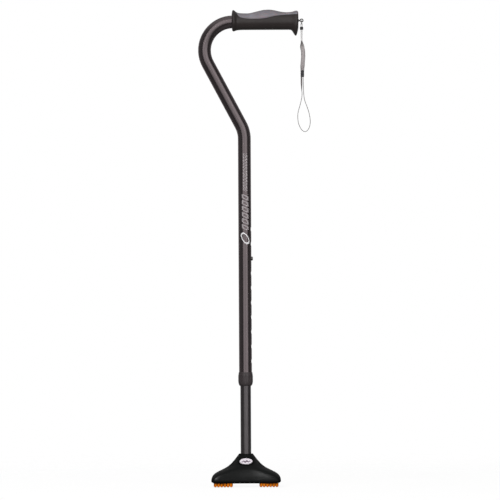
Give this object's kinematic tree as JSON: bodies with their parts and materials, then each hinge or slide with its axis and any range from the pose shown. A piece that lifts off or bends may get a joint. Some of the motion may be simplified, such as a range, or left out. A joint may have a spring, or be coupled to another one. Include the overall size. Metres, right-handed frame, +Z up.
{
  "type": "offset-handle quad-tip walking cane",
  "caption": "Height-adjustable walking cane with a swan-neck bent shaft, padded grip, wrist strap, telescoping lower tube with lock nut, and a flexible four-footed rubber tip.",
  "frame": {"origin": "on the floor, under the axis of the straight shaft, at the centre of the four feet", "axes": "+Z up along the shaft, +X the way the grip points, -Y towards the side view's viewer"},
  "size_m": [0.1941, 0.0802, 0.8251],
  "materials": {
    "shaft_upper": "mauve-grey anodised, satin",
    "shaft_lower": "dark grey anodised, satin",
    "lock_nylon": "dark grey moulded",
    "nylon_black": "matt",
    "spring_steel": "spring steel",
    "bright_steel": "nickel plated",
    "grip_rubber": "fine matt grain",
    "grip_gel": "soft satin gel",
    "webbing": "woven",
    "cord": "braided",
    "keeper": "matt",
    "base_rubber": "satin moulded rubber",
    "pod_rubber": "matt orange cushion rubber",
    "badge": "gloss",
    "ankle_elastomer": "matt"
  },
  "bodies": {
    "base": {"base_shell": "base_rubber", "base_core": "nylon_black", "base_badge": "badge", "foot_pod_back_right": "pod_rubber", "foot_pod_front_right": "pod_rubber", "foot_pod_back_left": "pod_rubber", "foot_pod_front_left": "pod_rubber"},
    "ankle": {"ankle_ball": "ankle_elastomer"},
    "lower_shaft": {"lower_tube": "shaft_lower", "lower_tube_guide": "nylon_black", "ankle_socket": "nylon_black", "tube_washer": "bright_steel", "button_spring": "spring_steel"},
    "snap_button": {"button_leaf": "spring_steel", "button_cap": "bright_steel"},
    "upper_shaft": {"upper_tube": "shaft_upper", "lock_collet": "nylon_black", "grip_body": "grip_rubber", "grip_gel_pad": "grip_gel", "shaft_end_plug": "nylon_black", "strap_eye_screw": "bright_steel"},
    "lock_thrust": {"lock_ring": "nylon_black"},
    "lock_grip": {"lock_nut": "lock_nylon"},
    "strap_link": {"strap_ring": "bright_steel"},
    "strap": {"strap_cord": "cord", "strap_bead": "keeper", "strap_band": "webbing"},
    "keeper": {"strap_slider": "keeper"}
  },
  "joints": [
    {"name": "ankle_roll", "type": "hinge", "parent": "base", "child": "ankle", "pos_m": [0, 0, 0.02], "axis": [1, 0, 0], "range_deg": [-8, 8], "stiffness_Nm_per_rad": 60, "deforming": ["base_shell"]},
    {"name": "ankle_pitch", "type": "hinge", "parent": "ankle", "child": "lower_shaft", "pos_m": [0, 0, 0.02], "axis": [0, 1, 0], "range_deg": [-8, 8], "stiffness_Nm_per_rad": 60, "deforming": ["base_shell"]},
    {"name": "height_adjust", "type": "slide", "parent": "lower_shaft", "child": "upper_shaft", "axis": [0, 0, 1], "range_m": [-0.0508, 0.1778], "stiffness_N_per_m": 20000, "deforming": ["button_leaf", "button_cap"]},
    {"name": "button_press", "type": "hinge", "parent": "lower_shaft", "child": "snap_button", "pos_m": [0, 0, 0.33], "axis": [0, -1, 0], "range_deg": [0, 4], "stiffness_Nm_per_rad": 1.5},
    {"name": "lock_ring_advance", "type": "slide", "parent": "upper_shaft", "child": "lock_thrust", "axis": [0, 0, -1], "range_m": [0, 0.0015]},
    {"name": "lock_nut_turn", "type": "hinge", "parent": "lock_thrust", "child": "lock_grip", "pos_m": [0, 0, 0.186], "axis": [0, 0, -1], "range_deg": [0, 270]},
    {"name": "strap_link_swing", "type": "hinge", "parent": "upper_shaft", "child": "strap_link", "pos_m": [0.1001, 0, 0.8063], "axis": [0, -1, 0], "range_deg": [-10, 100]},
    {"name": "strap_side_swing", "type": "hinge", "parent": "strap_link", "child": "strap", "pos_m": [0.1001, 0, 0.8031], "axis": [1, 0, 0], "range_deg": [-90, 90]},
    {"name": "keeper_slide", "type": "slide", "parent": "strap", "child": "keeper", "axis": [0, 0, -1], "range_m": [0, 0.026], "deforming": ["strap_band"]}
  ],
  "couplings": [
    {"joint": "lock_nut_turn", "follows": "lock_ring_advance", "rad_per_m": 3141.6}
  ]
}
